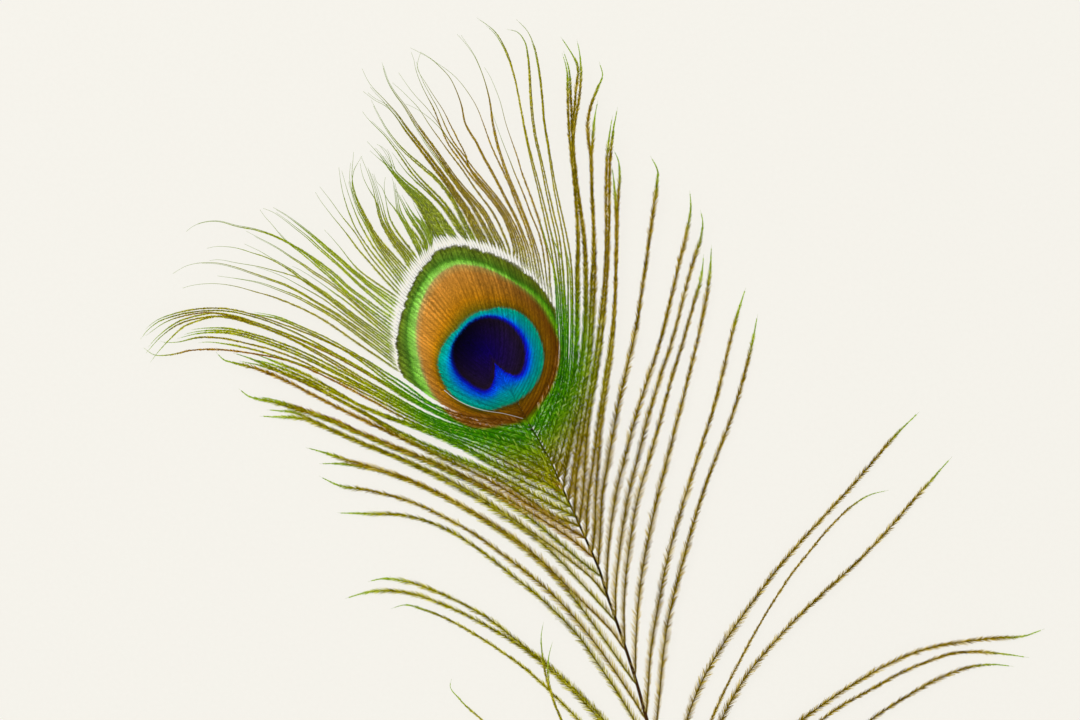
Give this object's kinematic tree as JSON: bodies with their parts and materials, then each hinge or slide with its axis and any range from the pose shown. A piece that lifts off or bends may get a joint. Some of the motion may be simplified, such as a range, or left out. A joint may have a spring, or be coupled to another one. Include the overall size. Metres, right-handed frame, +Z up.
{
  "type": "peacock feather",
  "caption": "Peacock tail feather lying face up: thin curved shaft, oval iridescent eye and long loose barbs in locks that fan out to both sides and over the crown.",
  "frame": {"origin": "on the flat underside of the shaft, near the middle of the feather's length, where it balances", "axes": "+Y along the feather towards its tip, +X to the right seen from above, +Z up out of the surface that it lies on"},
  "size_m": [0.2349, 0.3001, 0.0082],
  "materials": {
    "shaft_horn": "keratin horn, dark brown and thin at the eye, paler tan towards the cut quill, slight gloss",
    "eye_barbs": "fine close barbs with flat barbules: violet-black heart, blue rim, turquoise, bronze egg, thin bright green ring, dark green serrated rim, satin sheen",
    "left_barbs": "loose fringed barbs, olive brown low down, leaf green under the eye, yellow green to grey at the tips, hatched by their barbules",
    "crown_barbs": "loose fine barbs, bare and whitish next to the eye, olive to bright green further out, thin grey-green tips",
    "right_barbs": "loose fringed barbs, olive brown with tan fringes, green beside the eye, yellow green at the tips"
  },
  "bodies": {
    "root": {"shaft": "shaft_horn", "eye_web_left": "eye_barbs", "eye_web_right": "eye_barbs", "left_lock_01": "left_barbs", "left_lock_02": "left_barbs", "left_lock_03": "left_barbs", "left_lock_04": "left_barbs", "left_lock_05": "left_barbs", "left_lock_06": "left_barbs", "left_lock_07": "left_barbs", "left_lock_08": "left_barbs", "left_lock_09": "left_barbs", "left_lock_10": "left_barbs", "left_lock_11": "left_barbs", "left_lock_12": "left_barbs", "left_lock_13": "left_barbs", "left_lock_14": "left_barbs", "left_lock_15": "left_barbs", "crown_lock_01": "crown_barbs", "crown_lock_02": "crown_barbs", "crown_lock_03": "crown_barbs", "crown_lock_04": "crown_barbs", "crown_lock_05": "crown_barbs", "crown_lock_06": "crown_barbs", "crown_lock_07": "crown_barbs", "crown_lock_08": "crown_barbs", "crown_lock_09": "crown_barbs", "crown_lock_10": "crown_barbs", "crown_lock_11": "crown_barbs", "crown_lock_12": "crown_barbs", "crown_lock_13": "crown_barbs", "crown_lock_14": "crown_barbs", "crown_lock_15": "crown_barbs", "crown_lock_16": "crown_barbs", "crown_lock_17": "crown_barbs", "crown_lock_18": "crown_barbs", "crown_lock_19": "crown_barbs", "crown_lock_20": "crown_barbs", "crown_lock_21": "crown_barbs", "crown_lock_22": "crown_barbs", "crown_lock_23": "crown_barbs", "crown_lock_24": "crown_barbs", "right_lock_01": "right_barbs", "right_lock_02": "right_barbs", "right_lock_03": "right_barbs", "right_lock_04": "right_barbs", "right_lock_05": "right_barbs", "right_lock_06": "right_barbs", "right_lock_07": "right_barbs", "right_lock_08": "right_barbs", "right_lock_09": "right_barbs", "right_lock_10": "right_barbs", "right_lock_11": "right_barbs", "right_lock_12": "right_barbs", "right_lock_13": "right_barbs", "right_lock_14": "right_barbs", "right_lock_15": "right_barbs", "right_lock_16": "right_barbs", "right_lock_17": "right_barbs"}
  },
  "joints": []
}
